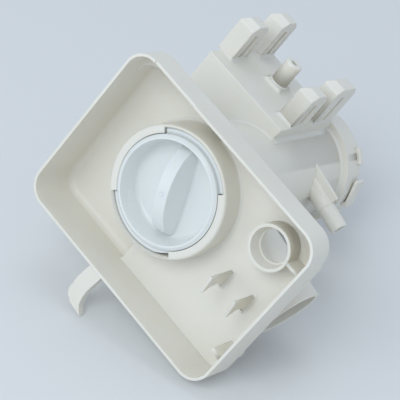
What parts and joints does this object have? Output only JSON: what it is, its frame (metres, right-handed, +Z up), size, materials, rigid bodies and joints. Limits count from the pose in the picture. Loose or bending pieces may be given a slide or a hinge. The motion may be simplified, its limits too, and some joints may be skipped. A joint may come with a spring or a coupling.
{
  "type": "pump filter housing",
  "caption": "Washing machine pump filter housing: drip tray, sump barrel with hose ports and bracket prongs, and a quarter-turn cap with a pull-out strainer.",
  "frame": {"origin": "centre of the pump bore's mouth, on the filter axis, in the pump flange's rear face", "axes": "+Y back towards the pump, +X right seen from the front, +Z up where the bracket prongs point"},
  "size_m": [0.1437, 0.16, 0.1482],
  "materials": {
    "housing_plastic": "satin",
    "cap_plastic": "gloss",
    "strainer_plastic": "satin",
    "seal_rubber": "matte"
  },
  "bodies": {
    "housing": {"front_tray": "housing_plastic", "filter_collar": "housing_plastic", "left_bayonet_lip": "housing_plastic", "right_bayonet_lip": "housing_plastic", "upper_turn_stop": "housing_plastic", "lower_turn_stop": "housing_plastic", "sump_barrel": "housing_plastic", "guide_rail": "housing_plastic", "pump_flange": "housing_plastic", "right_pump_tab": "housing_plastic", "left_pump_tab": "housing_plastic", "lower_pump_tab": "housing_plastic", "latch_tongue": "housing_plastic", "pump_seal": "seal_rubber", "air_chamber": "housing_plastic", "front_left_prong": "housing_plastic", "front_right_prong": "housing_plastic", "rear_left_prong": "housing_plastic", "rear_right_prong": "housing_plastic", "nipple_pad": "housing_plastic", "hose_nipple": "housing_plastic", "drain_sleeve": "housing_plastic", "sleeve_rib": "housing_plastic", "inner_hose_finger": "housing_plastic", "outer_hose_finger": "housing_plastic", "corner_rib": "housing_plastic", "hose_hook": "housing_plastic", "inlet_pipe": "housing_plastic", "side_spigot": "housing_plastic", "spigot_web": "housing_plastic"},
    "strainer": {"strainer_head": "strainer_plastic", "strainer_basket": "strainer_plastic", "strainer_end": "strainer_plastic", "left_guide_ear": "strainer_plastic", "right_guide_ear": "strainer_plastic"},
    "cap": {"filter_cap": "cap_plastic", "upper_cap_lug": "cap_plastic", "upper_stop_rib": "cap_plastic", "lower_cap_lug": "cap_plastic", "lower_stop_rib": "cap_plastic", "cap_seal": "seal_rubber", "grip_bar": "cap_plastic", "cap_spindle": "cap_plastic"}
  },
  "joints": [
    {"name": "filter_pull", "type": "slide", "parent": "housing", "child": "strainer", "axis": [0, -1, 0], "range_m": [0, 0.105]},
    {"name": "filter_turn", "type": "hinge", "parent": "strainer", "child": "cap", "pos_m": [0, -0.125, 0], "axis": [0, 1, 0], "range_deg": [0, 90]}
  ]
}
